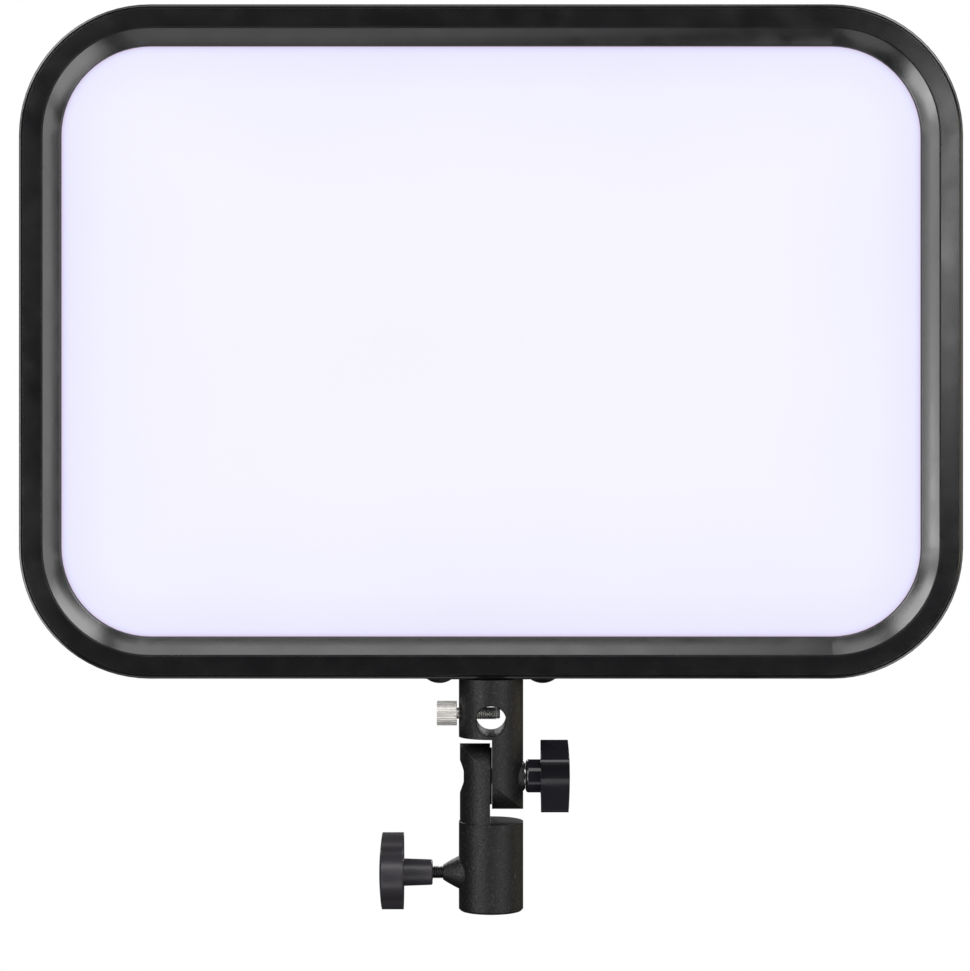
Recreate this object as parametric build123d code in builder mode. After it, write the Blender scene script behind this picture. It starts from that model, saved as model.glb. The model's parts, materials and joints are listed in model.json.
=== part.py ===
from build123d import *
import os
from math import cos, radians, sin

# LED panel light on a tilting stand socket with an umbrella holder.
#
# Millimetres. The origin is the centre of the stand socket's mouth, +Z is up, the lit face
# looks along -Y, and +X is to the right of somebody who faces the light.

os.makedirs("parts", exist_ok=True)

# ---------------------------------------------------------------- driving dimensions
# Panel outline and depths (y grows towards the rear, 0 is the middle of the panel's edge)
panel_width = 364.0
panel_height = 260.0
corner_radius = 50.5
panel_bottom = 90.8
panel_z = panel_bottom + panel_height / 2
front_y = -12.0
seam_y = 3.0
rear_y = 12.0
wall = 2.0

# Bezel section, measured inwards from the panel's side
land_width = 9.3
bevel_width = 6.7
rim_width = land_width + bevel_width
land_fall = 0.35
edge_round = 1.6
land_step = 0.5
bevel_drop = 2.9
bevel_cove = 0.2
lip_thickness = 1.4
lip_round = 0.8
lip_slope = 20.0
lip_back_y = front_y + land_step + bevel_drop + lip_thickness
channel_y = -9.6
screw_inset = 6.0

# Light engine, front to back
lip_overlap = 5.6
seal_thickness = 0.5
diffuser_thickness = 2.0
film_thickness = 0.3
guide_thickness = 4.0
reflector_thickness = 0.3
tray_thickness = 1.5
tray_rim = 1.5
engine_width = panel_width - 2 * (rim_width - lip_overlap)
engine_height = panel_height - 2 * (rim_width - lip_overlap)
engine_radius = corner_radius - (rim_width - lip_overlap)
diffuser_y = lip_back_y + seal_thickness
film_y = diffuser_y + diffuser_thickness
guide_y = film_y + film_thickness
reflector_y = guide_y + guide_thickness
tray_y = reflector_y + reflector_thickness
tray_back_y = tray_y + tray_thickness

# LED strips on the two long edges of the light guide
led_count = 24
led_pitch = 10.4
led_width = 3.5
led_height = 2.8
led_thickness = 1.0
board_thickness = 1.2
strip_length = 258.0
guide_height = engine_height - 8.4

# Stand bracket
tube_radius = 12.5
tilt_z = 52.0
lap_gap = 0.35
upper_shoulder_z = tilt_z + 15.4
upper_tongue_end = 12.7
lower_shoulder_z = tilt_z - 17.5
lower_tongue_end = 12.6
lower_tongue_radius = 12.1
spigot_bore_radius = 8.1
spigot_bore_depth = 30.0
umbrella_z = tilt_z + 22.5
umbrella_radius = 5.8
hole_rim_round = 0.5
umbrella_lock_z = tilt_z + 24.4
clamp_z = 14.6
foot_thickness = 0.5
foot_depth = 16.0
foot_bottom = panel_bottom - foot_thickness
foot_screw_x = 20.0
running_gap = 0.05

# Tilt lock
bolt_radius = 3.0
spot_face_x = -10.6
spot_face_radius = 6.4
head_pocket_depth = 4.0
hex_across_flats = 10.0
boss_face_x = 12.9
washer_thickness = 0.4
tilt_hub_x = 13.45
tilt_knob_x = 19.3
tilt_knob_end = 30.6
tilt_crown = 0.8
tilt_hub_radius = 6.4
insert_radius = 4.2
bolt_end_x = 26.0

# Clamp screw
m5_radius = 2.45
m5_pitch = 0.8
clamp_boss_x = -18.7
clamp_hub_x = -22.7
clamp_knob_x = -34.0
clamp_knob_end = -42.0
clamp_crown = 1.4
clamp_tip_x = -10.1

# Umbrella lock screw
lock_head_x = -13.3
lock_head_end = -21.0
lock_head_radius = 4.75
lock_tip_x = 2.0

# Control housing on the rear
housing_width = 156.0
housing_height = 112.0
housing_radius = 16.0
housing_y = 28.0
housing_wall = 2.2
housing_inner_y = housing_y - housing_wall
housing_screw_x = 70.0
housing_screw_z = 48.0
control_board_y = 20.0
pcb_thickness = 1.6
knob_x = (8.0, 44.0)
knob_z = -10.0
knob_radius = 9.0
knob_y = 28.6
knob_end_y = 38.5
shaft_radius = 3.0
button_x = (8.0, 44.0)
button_z = -37.0
button_travel = 0.8
display_x = 26.0
display_z = 26.0
side_y = 18.6
rocker_z = 22.0
rocker_tilt = 9.0
inlet_z = -26.0
battery_x = -44.0
battery_plate_width = 44.0
battery_plate_height = 72.0
battery_base = 2.5
battery_rail = 3.4
release_z = -13.0

# Fasteners of the shells
m3_radius = 1.5
m3_hole = 1.55
m3_head_radius = 2.8
m3_head_height = 1.8


# ---------------------------------------------------------------- shared helpers
def front_plane(y, x=0.0, z=panel_z):
    """Upright plane at depth y that faces the viewer: its x is to the right and its y is up."""
    return Plane(origin=(x, y, z), x_dir=(1, 0, 0), z_dir=(0, -1, 0))


def side_plane(x, y=0.0, z=0.0):
    """Upright plane at x that looks along +X: its x runs to the rear and its y is up."""
    return Plane(origin=(x, y, z), x_dir=(0, 1, 0), z_dir=(1, 0, 0))


def slab(width, height, radius, front, back, mode=Mode.ADD, x=0.0, z=panel_z):
    """Add or cut a rounded rectangle between two depths."""
    with BuildSketch(front_plane(back, x, z)) as outline:
        RectangleRounded(width, height, radius)
    extrude(outline.sketch, amount=back - front, mode=mode)


def rod_y(radius, front, back, places, mode=Mode.ADD):
    """Add or cut round rods along Y, at (x, z) places measured from the panel's centre."""
    with BuildSketch(front_plane(back)) as ends:
        with Locations(*places):
            Circle(radius)
    extrude(ends.sketch, amount=back - front, mode=mode)


def rod_x(radius, start, end, z, mode=Mode.ADD, y=0.0):
    """Add or cut a round rod along X."""
    with BuildSketch(side_plane(start, y, z)) as end_face:
        Circle(radius)
    extrude(end_face.sketch, amount=end - start, mode=mode)


def finish(part, name):
    """Label a piece and write it as its own file."""
    part.label = name
    export_step(part, f"parts/{name}.step")


# Screws that close the two shells, spread along the straight stretches of the rim
edge_x = panel_width / 2 - screw_inset
edge_z = panel_height / 2 - screw_inset
cover_screw_places = [(x, z) for x in (-118, -42, 42, 118) for z in (-edge_z, edge_z)]
cover_screw_places += [(x, z) for x in (-edge_x, edge_x) for z in (-55, 55)]
housing_screw_places = [
    (x, z) for x in (-housing_screw_x, housing_screw_x) for z in (-housing_screw_z, housing_screw_z)
]

# ---------------------------------------------------------------- front bezel
# Section points are (depth, distance inwards from the panel's side).
def lip_point(slope):
    """Point on the opening's rounded lip where it slopes back by that many degrees."""
    centre_y = front_y + land_step + bevel_drop + lip_round * cos(radians(lip_slope))
    return (
        centre_y - lip_round * cos(radians(slope)),
        rim_width - lip_round * (1 - sin(radians(slope))),
    )


with BuildLine(front_plane(0)) as rim_path:
    FilletPolyline(
        (-panel_width / 2, -panel_height / 2),
        (panel_width / 2, -panel_height / 2),
        (panel_width / 2, panel_height / 2),
        (-panel_width / 2, panel_height / 2),
        radius=corner_radius,
        close=True,
    )
rim_wire = rim_path.wire()
section_plane = Plane(origin=rim_wire @ 0, x_dir=(0, 1, 0), z_dir=rim_wire % 0)

with BuildPart() as front_bezel:
    with BuildSketch(section_plane) as rim_section:
        with BuildLine():
            Line((seam_y, 0), (front_y + land_fall + edge_round, 0))
            RadiusArc(
                (front_y + land_fall + edge_round, 0),
                (front_y + land_fall, edge_round),
                -edge_round,
            )
            ThreePointArc(
                (front_y + land_fall, edge_round),
                (front_y + land_fall * 0.3, (edge_round + land_width) / 2),
                (front_y, land_width - land_step),
            )
            Line((front_y, land_width - land_step), (front_y + land_step, land_width))
            # shallow cove that falls towards the light's opening
            ThreePointArc(
                (front_y + land_step, land_width),
                (
                    front_y + land_step + bevel_drop / 2 + bevel_cove,
                    (land_width + rim_width - lip_round * (1 - sin(radians(lip_slope)))) / 2,
                ),
                lip_point(lip_slope),
            )
            ThreePointArc(lip_point(lip_slope), lip_point(45 + lip_slope / 2), lip_point(90))
            Polyline(
                lip_point(90),
                (lip_back_y, rim_width),
                (lip_back_y, rim_width - lip_overlap),
                (channel_y, rim_width - lip_overlap),
                (channel_y, wall),
                (seam_y, wall),
                (seam_y, 0),
            )
        make_face()
    sweep(rim_section.sketch, path=rim_wire)
    rod_y(3.2, channel_y, seam_y, cover_screw_places)
    rod_y(m3_hole, -6.0, seam_y, cover_screw_places, Mode.SUBTRACT)
    # holes of the two foot screws and of the swivel screw, through the bottom wall
    with BuildSketch(Plane.XY.offset(panel_bottom - 1)) as foot_holes:
        with Locations((-foot_screw_x, 0), (foot_screw_x, 0)):
            Circle(2.1)
        Circle(2.6)
    extrude(foot_holes.sketch, amount=wall + 2, mode=Mode.SUBTRACT)
finish(front_bezel.part, "front_bezel")

# ---------------------------------------------------------------- rear cover
vent_places = [(-128.0, 34.0), (-128.0, -34.0), (128.0, 34.0), (128.0, -34.0)]
with BuildPart() as rear_cover:
    slab(panel_width, panel_height, corner_radius, seam_y, rear_y)
    fillet(rear_cover.faces().sort_by(Axis.Y)[-1].edges(), 2.5)
    slab(
        panel_width - 2 * wall,
        panel_height - 2 * wall,
        corner_radius - wall,
        seam_y,
        rear_y - wall,
        Mode.SUBTRACT,
    )
    # screw pillars that run into the side walls
    rod_y(4.3, seam_y, rear_y - wall, cover_screw_places)
    rod_y(3.4, 5.5, rear_y - wall, housing_screw_places)
    rod_y(m3_hole, seam_y, rear_y, cover_screw_places, Mode.SUBTRACT)
    rod_y(3.1, 9.8, rear_y, cover_screw_places, Mode.SUBTRACT)
    rod_y(m3_hole, 5.5, rear_y, housing_screw_places, Mode.SUBTRACT)
    slab(112, 72, 6, seam_y, rear_y, Mode.SUBTRACT)
    with BuildSketch(front_plane(rear_y)) as vents:
        with Locations(*vent_places):
            with GridLocations(6.0, 1.0, 11, 1):
                SlotOverall(52.0, 2.6, rotation=90)
    extrude(vents.sketch, amount=wall + 1, mode=Mode.SUBTRACT)
finish(rear_cover.part, "rear_cover")

with BuildPart() as cover_screws:
    rod_y(m3_head_radius, 9.8, 9.8 + m3_head_height, cover_screw_places)
    fillet(cover_screws.edges().filter_by(GeomType.CIRCLE).group_by(Axis.Y)[-1], 0.7)
    rod_y(m3_radius, -3.0, 9.8, cover_screw_places)
    rod_y(1.1, 10.5, 12.0, cover_screw_places, Mode.SUBTRACT)
finish(cover_screws.part, "cover_screws")

# ---------------------------------------------------------------- light engine
with BuildPart() as light_seal:
    slab(engine_width, engine_height, engine_radius, lip_back_y, diffuser_y)
    slab(
        panel_width - 2 * rim_width,
        panel_height - 2 * rim_width,
        corner_radius - rim_width,
        lip_back_y,
        diffuser_y,
        Mode.SUBTRACT,
    )
finish(light_seal.part, "light_seal")

with BuildPart() as diffuser:
    slab(engine_width, engine_height, engine_radius, diffuser_y, film_y)
finish(diffuser.part, "diffuser")

guide_width = engine_width - 2 * tray_rim - 0.6
guide_radius = engine_radius - 4.0
with BuildPart() as diffusion_film:
    slab(guide_width, guide_height, guide_radius, film_y, guide_y)
finish(diffusion_film.part, "diffusion_film")

with BuildPart() as light_guide:
    slab(guide_width, guide_height, guide_radius, guide_y, reflector_y)
finish(light_guide.part, "light_guide")

with BuildPart() as reflector_sheet:
    slab(guide_width, guide_height, guide_radius, reflector_y, tray_y)
finish(reflector_sheet.part, "reflector_sheet")

with BuildPart() as heat_spreader:
    slab(engine_width, engine_height, engine_radius, film_y, tray_back_y)
    slab(
        engine_width - 2 * tray_rim,
        engine_height - 2 * tray_rim,
        engine_radius - tray_rim,
        film_y,
        tray_y,
        Mode.SUBTRACT,
    )
finish(heat_spreader.part, "heat_spreader")

# The boards stand on the tray's rim, and the LEDs look into the guide's long edges.
strip_z = engine_height / 2 - tray_rim - board_thickness / 2
led_z = strip_z - board_thickness / 2 - led_thickness / 2
led_mid_y = (guide_y + reflector_y) / 2
with BuildPart() as led_boards:
    for side in (-1, 1):
        slab(
            strip_length,
            board_thickness,
            0.3,
            led_mid_y - 2.1,
            led_mid_y + 2.1,
            z=panel_z + side * strip_z,
        )
finish(led_boards.part, "led_boards")


def led_row(first_x):
    """Every second LED of both strips, starting at first_x."""
    with BuildSketch(front_plane(led_mid_y + led_height / 2)) as packages:
        for side in (-1, 1):
            with Locations((first_x, side * led_z)):
                with GridLocations(led_pitch, 1, led_count, 1):
                    Rectangle(led_width, led_thickness)
    extrude(packages.sketch, amount=led_height)


with BuildPart() as warm_leds:
    led_row(-led_pitch / 4)
finish(warm_leds.part, "warm_leds")

with BuildPart() as cool_leds:
    led_row(led_pitch / 4)
finish(cool_leds.part, "cool_leds")

# ---------------------------------------------------------------- driver board
driver_y = tray_back_y + 3.0
driver_back_y = driver_y + pcb_thickness
driver_corners = [(x, z) for x in (-48, 48) for z in (-28, 28)]
control_corners = [(x, z) for x in (-10, 56) for z in (-42, 42)]

with BuildPart() as board_spacers:
    rod_y(2.5, tray_back_y, driver_y, driver_corners)
    rod_y(2.5, control_board_y + pcb_thickness, housing_inner_y, control_corners)
    rod_y(1.3, tray_back_y, driver_y, driver_corners, Mode.SUBTRACT)
    rod_y(1.3, control_board_y + pcb_thickness, housing_inner_y, control_corners, Mode.SUBTRACT)
finish(board_spacers.part, "board_spacers")

with BuildPart() as driver_board:
    slab(104, 64, 3, driver_y, driver_back_y)
    rod_y(1.35, driver_y, driver_back_y, driver_corners, Mode.SUBTRACT)
finish(driver_board.part, "driver_board")

component_top = driver_back_y + 3.4
with BuildPart() as driver_components:
    for x in (-30, -12, 6):
        slab(12, 12, 2, driver_back_y, component_top, x=x, z=panel_z + 14)
    rod_y(3.9, driver_back_y, component_top, [(x, -14) for x in (-34, -24, -14)])
    slab(10, 8, 0.4, driver_back_y, driver_back_y + 1.6, x=8, z=panel_z - 12)
    slab(18, 6, 0.6, driver_back_y, component_top, x=28, z=panel_z + 22)
    slab(6, 18, 0.6, driver_back_y, component_top, x=40, z=panel_z - 6)
finish(driver_components.part, "driver_components")

with BuildPart() as board_screws:
    rod_y(2.3, driver_back_y, driver_back_y + 1.5, driver_corners)
    rod_y(1.25, tray_back_y + 0.3, driver_back_y, driver_corners)
    rod_y(2.3, control_board_y - 1.5, control_board_y, control_corners)
    rod_y(1.25, control_board_y, housing_inner_y - 0.3, control_corners)
finish(board_screws.part, "board_screws")

# ---------------------------------------------------------------- control housing
release_width = 14.0
release_height = 9.0
release_gap = 0.4
with BuildPart() as control_housing:
    slab(housing_width, housing_height, housing_radius, rear_y, housing_y)
    fillet(control_housing.faces().sort_by(Axis.Y)[-1].edges(), 3.0)
    slab(
        housing_width - 2 * housing_wall,
        housing_height - 2 * housing_wall,
        housing_radius - housing_wall,
        rear_y,
        housing_inner_y,
        Mode.SUBTRACT,
    )
    rod_y(3.8, rear_y, housing_inner_y, housing_screw_places)
    rod_y(m3_hole, rear_y, housing_y, housing_screw_places, Mode.SUBTRACT)
    rod_y(3.1, housing_y - 2.0, housing_y, housing_screw_places, Mode.SUBTRACT)
    # display: a through window inside a shallow recess for its clear cover
    slab(39, 19, 1.5, 20, 40, Mode.SUBTRACT, display_x, panel_z + display_z)
    slab(46, 26, 3, housing_y - 1.2, 40, Mode.SUBTRACT, display_x, panel_z + display_z)
    rod_y(4.4, 20, 40, [(x, knob_z) for x in knob_x], Mode.SUBTRACT)
    for x in button_x:
        slab(12.8, 7.8, 2.4, 20, 40, Mode.SUBTRACT, x, panel_z + button_z)
    slab(
        release_width + 2 * release_gap,
        release_height + 2 * release_gap,
        1.4,
        20,
        40,
        Mode.SUBTRACT,
        battery_x,
        panel_z + release_z,
    )
    # side openings of the power switch and the supply inlet
    with BuildSketch(side_plane(60, side_y, panel_z)) as side_openings:
        with Locations((0, rocker_z)):
            Rectangle(10.4, 17.2)
        with Locations((0, inlet_z)):
            Circle(4.6)
    extrude(side_openings.sketch, amount=30, mode=Mode.SUBTRACT)
finish(control_housing.part, "control_housing")

with BuildPart() as housing_screws:
    rod_y(m3_head_radius, housing_y - 2.0, housing_y - 0.2, housing_screw_places)
    fillet(housing_screws.edges().filter_by(GeomType.CIRCLE).group_by(Axis.Y)[-1], 0.7)
    rod_y(m3_radius, 6.0, housing_y - 2.0, housing_screw_places)
    rod_y(1.1, housing_y - 1.2, housing_y + 1, housing_screw_places, Mode.SUBTRACT)
finish(housing_screws.part, "housing_screws")

with BuildPart() as control_board:
    slab(74, 92, 3, control_board_y, control_board_y + pcb_thickness, x=23)
    rod_y(1.35, control_board_y, control_board_y + pcb_thickness, control_corners, Mode.SUBTRACT)
    rod_y(3.4, control_board_y, control_board_y + pcb_thickness, [(x, knob_z) for x in knob_x],
          Mode.SUBTRACT)
finish(control_board.part, "control_board")

with BuildPart() as display_window:
    slab(45.8, 25.8, 2.9, housing_y - 1.2, housing_y, x=display_x, z=panel_z + display_z)
    fillet(display_window.faces().sort_by(Axis.Y)[-1].edges(), 0.4)
finish(display_window.part, "display_window")

with BuildPart() as display_module:
    slab(38, 18, 1, 23.4, 26.4, x=display_x, z=panel_z + display_z)
    slab(42, 23, 1, control_board_y + pcb_thickness, 23.4, x=display_x, z=panel_z + display_z)
finish(display_module.part, "display_module")

# ---------------------------------------------------------------- rotary controls
with BuildPart() as potentiometers:
    for x in knob_x:
        slab(15, 15, 1, control_board_y + pcb_thickness, 25.4, x=x, z=panel_z + knob_z)
    rod_y(4.1, 25.4, 28.2, [(x, knob_z) for x in knob_x])
    rod_y(shaft_radius + running_gap, 20, 30, [(x, knob_z) for x in knob_x], Mode.SUBTRACT)
finish(potentiometers.part, "potentiometers")


def control_shaft(x):
    """Metal shaft with a flat, from inside the potentiometer to inside the knob."""
    rod_y(shaft_radius, 22.0, 36.0, [(x, knob_z)])
    with BuildSketch(front_plane(36.0, x, panel_z + knob_z)) as flat:
        with Locations((0, 2.9)):
            Rectangle(8, 1.8)
    extrude(flat.sketch, amount=36.0 - 29.6, mode=Mode.SUBTRACT)


def control_knob(x):
    """Fluted knob with a raised pointer, hollow at the back to clear the bush."""
    rod_y(knob_radius, knob_y, knob_end_y, [(x, knob_z)])
    fillet(edges().filter_by(GeomType.CIRCLE).group_by(Axis.Y)[-1], 1.0)
    with BuildSketch(front_plane(knob_end_y - 1.6, x, panel_z + knob_z)) as flutes:
        with PolarLocations(knob_radius + 0.55, 24):
            Circle(0.9)
    extrude(flutes.sketch, amount=knob_end_y - 1.6 - knob_y - 1.2, mode=Mode.SUBTRACT)
    with BuildSketch(front_plane(knob_end_y, x, panel_z + knob_z)) as face_recess:
        Circle(knob_radius - 2.0)
    extrude(face_recess.sketch, amount=0.5, mode=Mode.SUBTRACT)
    with BuildSketch(front_plane(knob_end_y, x, panel_z + knob_z)) as pointer:
        with Locations((0, knob_radius - 4.0)):
            SlotOverall(5.4, 1.2, rotation=90)
    extrude(pointer.sketch, amount=0.6)
    rod_y(4.6, knob_y, 30.0, [(x, knob_z)], Mode.SUBTRACT)
    with BuildSketch(front_plane(36.0, x, panel_z + knob_z)) as socket:
        Circle(shaft_radius)
        with Locations((0, 2.9)):
            Rectangle(8, 1.8, mode=Mode.SUBTRACT)
    extrude(socket.sketch, amount=6.5, mode=Mode.SUBTRACT)


with BuildPart() as brightness_shaft:
    control_shaft(knob_x[0])
finish(brightness_shaft.part, "brightness_shaft")

with BuildPart() as colour_shaft:
    control_shaft(knob_x[1])
finish(colour_shaft.part, "colour_shaft")

with BuildPart() as brightness_knob:
    control_knob(knob_x[0])
finish(brightness_knob.part, "brightness_knob")

with BuildPart() as colour_knob:
    control_knob(knob_x[1])
finish(colour_knob.part, "colour_knob")


# ---------------------------------------------------------------- push buttons
def push_button(x):
    """Cap that stands proud of the housing, on a flange that keeps it in."""
    slab(12.0, 7.0, 2.0, 24.2, 29.2, x=x, z=panel_z + button_z)
    fillet(faces().sort_by(Axis.Y)[-1].edges(), 0.5)
    slab(14.4, 9.4, 1.0, 24.2, 25.4, x=x, z=panel_z + button_z)


with BuildPart() as mode_button:
    push_button(button_x[0])
finish(mode_button.part, "mode_button")

with BuildPart() as channel_button:
    push_button(button_x[1])
finish(channel_button.part, "channel_button")

with BuildPart() as tact_switches:
    for x in button_x:
        slab(6, 6, 0.4, control_board_y + pcb_thickness, 22.6, x=x, z=panel_z + button_z)
    rod_y(1.5, 22.6, 22.9, [(x, button_z) for x in button_x])
finish(tact_switches.part, "tact_switches")

# ---------------------------------------------------------------- power switch and inlet
side_x = housing_width / 2
rocker_pivot_x = side_x - 1.2
rocker_half_width = 3.7
pivot_pin_radius = 0.8
pivot_pin_reach = 4.8
with BuildPart() as switch_body:
    with BuildSketch(side_plane(side_x - 13, side_y, panel_z + rocker_z)) as body_outline:
        Rectangle(10.0, 16.8)
    extrude(body_outline.sketch, amount=13)
    with BuildSketch(side_plane(side_x, side_y, panel_z + rocker_z)) as flange:
        RectangleRounded(11.6, 19.4, 1.0)
    extrude(flange.sketch, amount=1.3)
    fillet(faces().sort_by(Axis.X)[-1].edges(), 0.5)
    with BuildSketch(side_plane(side_x - 6, side_y, panel_z + rocker_z)) as well:
        Rectangle(8.4, 14.8)
    extrude(well.sketch, amount=10, mode=Mode.SUBTRACT)
    # bearing holes of the rocker's pivot pins
    with BuildSketch(front_plane(side_y + 6, rocker_pivot_x, panel_z + rocker_z)) as pivot_holes:
        Circle(pivot_pin_radius + running_gap)
    extrude(pivot_holes.sketch, amount=12, mode=Mode.SUBTRACT)
finish(switch_body.part, "switch_body")

# The rocker stands with its top end pressed in, which is on.
rocker_plane = Plane(
    origin=(rocker_pivot_x, side_y - rocker_half_width, panel_z + rocker_z),
    x_dir=(cos(radians(rocker_tilt)), 0, sin(radians(rocker_tilt))),
    z_dir=(0, 1, 0),
)
with BuildPart() as power_rocker:
    with BuildSketch(rocker_plane) as rocker_outline:
        with BuildLine():
            Polyline(
                (3.4, -6.2), (2.0, 0), (3.4, 6.2), (-1.2, 6.2), (-2.6, 0), (-1.2, -6.2), close=True
            )
        make_face()
    extrude(rocker_outline.sketch, amount=2 * rocker_half_width)
    fillet(power_rocker.edges().group_by(Axis.X)[-1], 0.4)
    with BuildSketch(front_plane(side_y + pivot_pin_reach, rocker_pivot_x, panel_z + rocker_z)) as pins:
        Circle(pivot_pin_radius)
    extrude(pins.sketch, amount=2 * pivot_pin_reach)
finish(power_rocker.part, "power_rocker")

with BuildPart() as dc_inlet:
    rod_x(4.5, side_x - 11, side_x, panel_z + inlet_z, y=side_y)
    rod_x(5.4, side_x, side_x + 1.2, panel_z + inlet_z, y=side_y)
    fillet(edges().filter_by(GeomType.CIRCLE).group_by(Axis.X)[-1], 0.4)
    rod_x(2.85, side_x - 9.5, side_x + 2, panel_z + inlet_z, Mode.SUBTRACT, y=side_y)
    rod_x(1.0, side_x - 9.5, side_x - 0.5, panel_z + inlet_z, y=side_y)
finish(dc_inlet.part, "dc_inlet")

# ---------------------------------------------------------------- battery plate
battery_z = -2.0
base_back_y = housing_y + battery_base
rail_back_y = base_back_y + battery_rail
plate_screw_places = [(battery_x, battery_z + 28), (battery_x, battery_z + 6)]
with BuildPart() as battery_plate:
    slab(
        battery_plate_width,
        battery_plate_height,
        4,
        housing_y,
        base_back_y,
        x=battery_x,
        z=panel_z + battery_z,
    )
    fillet(battery_plate.faces().sort_by(Axis.Y)[-1].edges(), 0.6)
    for side in (-1, 1):
        rail_x = battery_x + side * (battery_plate_width / 2 - 2.4)
        slab(2.4, 56, 0.8, base_back_y - 0.2, rail_back_y, x=rail_x, z=panel_z + battery_z + 2)
        lip_x = rail_x - side * 1.6
        slab(3.2, 56, 0.5, rail_back_y - 1.2, rail_back_y, x=lip_x, z=panel_z + battery_z + 2)
    # raised block that carries the contact blades at the lower end
    slab(
        24, 6, 1, base_back_y - 0.2, base_back_y + 4.4, x=battery_x, z=panel_z + battery_z - 31
    )
    slab(
        release_width + 2 * release_gap,
        release_height + 2 * release_gap,
        1.4,
        20,
        40,
        Mode.SUBTRACT,
        battery_x,
        panel_z + release_z,
    )
    rod_y(1.3, 20, 40, plate_screw_places, Mode.SUBTRACT)
    rod_y(2.5, base_back_y - 1.4, 40, plate_screw_places, Mode.SUBTRACT)
finish(battery_plate.part, "battery_plate")

with BuildPart() as battery_contacts:
    for x in (-8, 0, 8):
        slab(
            1.0,
            7.0,
            0.3,
            base_back_y + 1.2,
            base_back_y + 3.4,
            x=battery_x + x,
            z=panel_z + battery_z - 24.4,
        )
finish(battery_contacts.part, "battery_contacts")

with BuildPart() as plate_screws:
    rod_y(2.3, base_back_y - 1.4, base_back_y - 0.2, plate_screw_places)
    rod_y(1.2, housing_y, base_back_y - 1.4, plate_screw_places)
    rod_y(0.9, base_back_y - 0.9, 40, plate_screw_places, Mode.SUBTRACT)
finish(plate_screws.part, "plate_screws")

with BuildPart() as battery_release:
    slab(
        release_width,
        release_height,
        1.2,
        23.6,
        base_back_y + 2.6,
        x=battery_x,
        z=panel_z + release_z,
    )
    fillet(battery_release.faces().sort_by(Axis.Y)[-1].edges(), 0.6)
    slab(
        release_width + 3, release_height + 3, 1.2, 23.6, 25.0, x=battery_x, z=panel_z + release_z
    )
finish(battery_release.part, "battery_release")

# ---------------------------------------------------------------- foot of the bracket
block_bottom = panel_bottom + wall
block_top = block_bottom + 5.0
with BuildPart() as mount_block:
    with BuildSketch(Plane.XY.offset(block_bottom)):
        RectangleRounded(52, 15, 2)
        with Locations((-foot_screw_x, 0), (foot_screw_x, 0)):
            Circle(2.05, mode=Mode.SUBTRACT)
        Circle(2.55, mode=Mode.SUBTRACT)
    extrude(amount=block_top - block_bottom)
finish(mount_block.part, "mount_block")

with BuildPart() as bracket_foot:
    with BuildSketch(Plane.XY.offset(foot_bottom)):
        RectangleRounded(52, foot_depth, 5)
        with Locations((-foot_screw_x, 0), (foot_screw_x, 0)):
            Circle(2.05, mode=Mode.SUBTRACT)
        Circle(2.55, mode=Mode.SUBTRACT)
    extrude(amount=foot_thickness)
finish(bracket_foot.part, "bracket_foot")

with BuildPart() as swivel_screw:
    with BuildSketch(Plane.XY.offset(block_top)):
        Circle(4.5)
        RegularPolygon(2.0, 6, mode=Mode.SUBTRACT)
    extrude(amount=2.4)
    with BuildSketch(Plane.XY.offset(foot_bottom - 5)):
        Circle(2.5)
    extrude(amount=block_top - foot_bottom + 5)
finish(swivel_screw.part, "swivel_screw")

# Truss heads under the foot: each is the cap of a ball, cut flat at the foot's underside.
head_radius = 5.6
head_height = 2.2
ball_radius = (head_radius**2 + head_height**2) / (2 * head_height)
with BuildPart() as foot_screws:
    for x in (-foot_screw_x, foot_screw_x):
        with BuildSketch(Plane.XZ) as head_section:
            with BuildLine():
                Line((x, foot_bottom), (x + head_radius, foot_bottom))
                RadiusArc(
                    (x + head_radius, foot_bottom), (x, foot_bottom - head_height), ball_radius
                )
                Line((x, foot_bottom - head_height), (x, foot_bottom))
            make_face()
        revolve(head_section.sketch, axis=Axis((x, 0, 0), (0, 0, 1)))
    with BuildSketch(Plane.XY.offset(foot_bottom)) as shanks:
        with Locations((-foot_screw_x, 0), (foot_screw_x, 0)):
            Circle(2.0)
    extrude(shanks.sketch, amount=block_top - foot_bottom - 0.6)
    with BuildSketch(Plane.XY.offset(foot_bottom - 3)) as drives:
        with Locations((-foot_screw_x, 0), (foot_screw_x, 0)):
            RegularPolygon(1.45, 6)
    extrude(drives.sketch, amount=2.6, mode=Mode.SUBTRACT)
finish(foot_screws.part, "foot_screws")


# ---------------------------------------------------------------- tilt joint
def tongue_outline(end_radius, far_z):
    """Side outline of a half-lap tongue: round about the tilt axis, straight to far_z."""
    with BuildSketch(side_plane(-30)) as outline:
        with Locations((0, tilt_z)):
            Circle(end_radius)
        with Locations((0, (tilt_z + far_z) / 2)):
            Rectangle(2 * end_radius, abs(far_z - tilt_z))
    extrude(outline.sketch, amount=60, mode=Mode.INTERSECT)


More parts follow.
